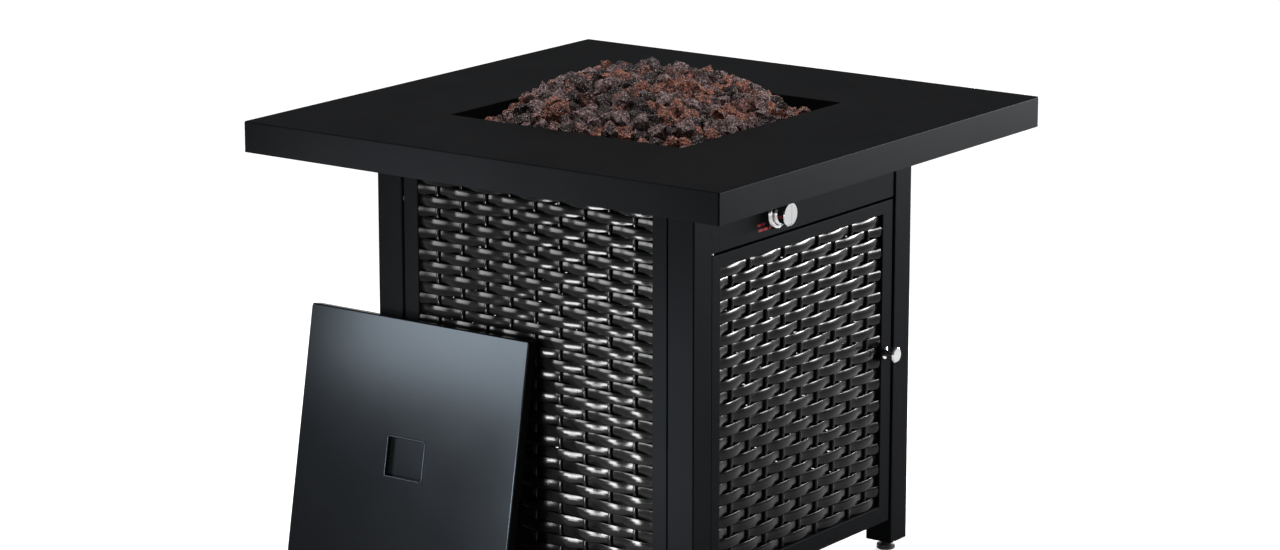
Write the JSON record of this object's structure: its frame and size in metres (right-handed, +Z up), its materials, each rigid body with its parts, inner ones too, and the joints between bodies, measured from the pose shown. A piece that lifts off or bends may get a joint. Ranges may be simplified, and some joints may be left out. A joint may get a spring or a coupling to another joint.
{
  "type": "gas fire pit table",
  "caption": "Square steel patio table on a woven black base with a door, a gas burner under lava stones in its middle, and a loose lid that leans against its side.",
  "frame": {"origin": "bottom centre of the box round the whole object, on the floor under the middle of the top", "axes": "+Z up, the door and the gas knob face -Y, the lid leans on the -X side"},
  "size_m": [0.7112, 0.7112, 0.6399],
  "materials": {
    "black_powder_coat": "satin black powder coat",
    "black_wicker": "glossy black woven resin",
    "zinc_steel": "zinc plated steel",
    "stainless_steel": "brushed stainless steel",
    "chrome": "bright chrome plate",
    "brass": "machined brass",
    "white_ceramic": "white ceramic insulator",
    "ferrite_magnet": "dark ferrite magnet",
    "lava_stone": "rough red-brown and grey lava stone",
    "black_plastic": "matt black plastic",
    "aluminium_tube": "drawn aluminium tube",
    "lead_sleeve": "black silicone sleeve"
  },
  "bodies": {
    "table": {"table_top": "black_powder_coat", "corner_post_front_left": "black_powder_coat", "corner_post_front_right": "black_powder_coat", "corner_post_back_left": "black_powder_coat", "corner_post_back_right": "black_powder_coat", "top_rail_front": "black_powder_coat", "top_rail_back": "black_powder_coat", "top_rail_left": "black_powder_coat", "top_rail_right": "black_powder_coat", "side_frame_left": "black_powder_coat", "side_frame_back": "black_powder_coat", "side_frame_right": "black_powder_coat", "control_panel": "black_powder_coat", "base_plate": "black_powder_coat", "bottle_ring": "black_powder_coat", "hinge_bracket": "black_powder_coat", "burner_pan": "black_powder_coat", "wicker_left": "black_wicker", "wicker_back": "black_wicker", "wicker_right": "black_wicker", "top_stiffeners": "zinc_steel", "top_bolts": "zinc_steel", "frame_screws": "zinc_steel", "heat_shield": "zinc_steel", "shield_studs": "zinc_steel", "burner_ring": "stainless_steel", "pilot_hood": "stainless_steel", "thermocouple": "stainless_steel", "knob_bezel": "chrome", "air_mixer": "brass", "gas_valve": "brass", "valve_nut": "brass", "line_nuts": "brass", "ignition_electrode": "white_ceramic", "door_magnet": "ferrite_magnet", "lava_rocks": "lava_stone", "post_plugs": "black_plastic", "piezo_igniter": "black_plastic", "gas_line": "aluminium_tube", "thermocouple_lead": "lead_sleeve", "igniter_lead": "lead_sleeve"},
    "door": {"door_frame": "black_powder_coat", "door_wicker": "black_wicker", "door_knob": "chrome", "door_knob_screw": "zinc_steel", "hinge_pin": "zinc_steel", "hinge_blocks": "zinc_steel", "strike_plate": "zinc_steel"},
    "knob_slider": {"stem_collar": "zinc_steel", "stem_spring": "zinc_steel"},
    "gas_knob": {"valve_stem": "zinc_steel", "control_knob": "chrome"},
    "bottle_clamp": {"bottle_screw": "zinc_steel"},
    "lid": {"lid_panel": "black_powder_coat", "lid_handle_cup": "black_powder_coat"},
    "foot_front_left": {"levelling_foot_front_left": "black_plastic"},
    "foot_front_right": {"levelling_foot_front_right": "black_plastic"},
    "foot_back_left": {"levelling_foot_back_left": "black_plastic"},
    "foot_back_right": {"levelling_foot_back_right": "black_plastic"}
  },
  "joints": [
    {"name": "door_hinge", "type": "hinge", "parent": "table", "child": "door", "pos_m": [-0.193, -0.233, 0.2565], "axis": [0, 0, -1], "range_deg": [0, 110]},
    {"name": "knob_push", "type": "slide", "parent": "table", "child": "knob_slider", "axis": [0, 1, 0], "range_m": [0, 0.003], "stiffness_N_per_m": 2500, "deforming": ["stem_spring"]},
    {"name": "knob_turn", "type": "hinge", "parent": "knob_slider", "child": "gas_knob", "pos_m": [-0.065, -0.245, 0.498], "axis": [0, 1, 0], "range_deg": [0, 210]},
    {"name": "bottle_screw_travel", "type": "slide", "parent": "table", "child": "bottle_clamp", "axis": [0, 1, 0], "range_m": [0, 0.008]},
    {"name": "lid_slide", "type": "slide", "parent": "table", "child": "lid", "axis": [-1, 0, 0], "range_m": [0, 0.35]},
    {"name": "foot_travel_front_left", "type": "slide", "parent": "table", "child": "foot_front_left", "axis": [0, 0, -1], "range_m": [0, 0.01]},
    {"name": "foot_travel_front_right", "type": "slide", "parent": "table", "child": "foot_front_right", "axis": [0, 0, -1], "range_m": [0, 0.01]},
    {"name": "foot_travel_back_left", "type": "slide", "parent": "table", "child": "foot_back_left", "axis": [0, 0, -1], "range_m": [0, 0.01]},
    {"name": "foot_travel_back_right", "type": "slide", "parent": "table", "child": "foot_back_right", "axis": [0, 0, -1], "range_m": [0, 0.01]}
  ]
}
